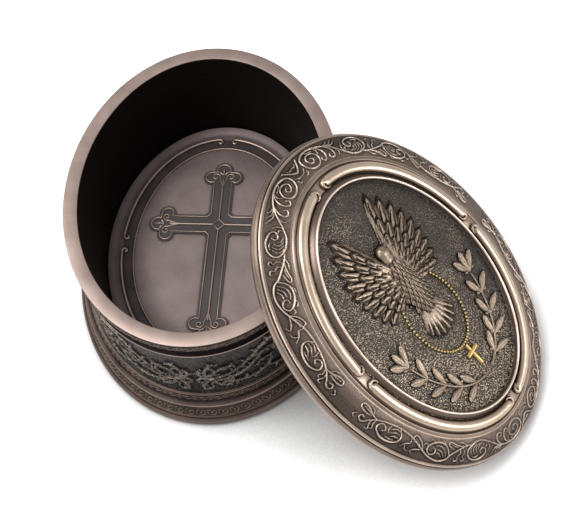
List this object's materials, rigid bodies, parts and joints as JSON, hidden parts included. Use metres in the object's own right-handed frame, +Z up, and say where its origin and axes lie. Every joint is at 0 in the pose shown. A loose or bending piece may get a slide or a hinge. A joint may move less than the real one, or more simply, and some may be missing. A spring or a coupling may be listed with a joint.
{
  "type": "rosary box",
  "caption": "Oval cold-cast bronze keepsake box with a moulded foot, a cross on its floor, and its domed lid taken off and leaned on the rim.",
  "frame": {"origin": "centre of the box's base, on the surface it stands on", "axes": "+Z up, +Y along the box towards the head of the floor cross, +X towards the lid"},
  "size_m": [0.1437, 0.1266, 0.0666],
  "materials": {
    "antique_bronze": "cold-cast bronze: bronze powder in resin, dark patina rubbed back on the raised parts",
    "satin_bronze": "cold-cast bronze, satin, mauve-brown",
    "dark_bronze": "cold-cast bronze, stippled and left dark",
    "rubbed_bronze": "cold-cast bronze, rubbed bright",
    "gold_paint": "gold paint over cold-cast bronze",
    "felt": "thin black felt"
  },
  "bodies": {
    "box": {"box_body": "antique_bronze", "base_felt": "felt", "floor_plate": "satin_bronze", "floor_cross": "satin_bronze", "floor_border_1": "rubbed_bronze", "floor_border_2": "rubbed_bronze", "floor_border_3": "rubbed_bronze", "floor_border_4": "rubbed_bronze"},
    "lid": {"lid_frame": "antique_bronze", "lid_plaque": "dark_bronze", "lid_rib_1": "rubbed_bronze", "lid_rib_2": "rubbed_bronze", "lid_rib_3": "rubbed_bronze", "lid_rib_4": "rubbed_bronze", "dove_body": "rubbed_bronze", "dove_wing_left": "rubbed_bronze", "dove_wing_right": "rubbed_bronze", "olive_spray_left": "rubbed_bronze", "olive_spray_right": "rubbed_bronze", "bead_swag": "gold_paint", "pendant_cross": "gold_paint"}
  },
  "joints": [
    {"name": "lid_lift", "type": "slide", "parent": "box", "child": "lid", "axis": [0, 0, 1], "range_m": [0, 0.1]}
  ]
}
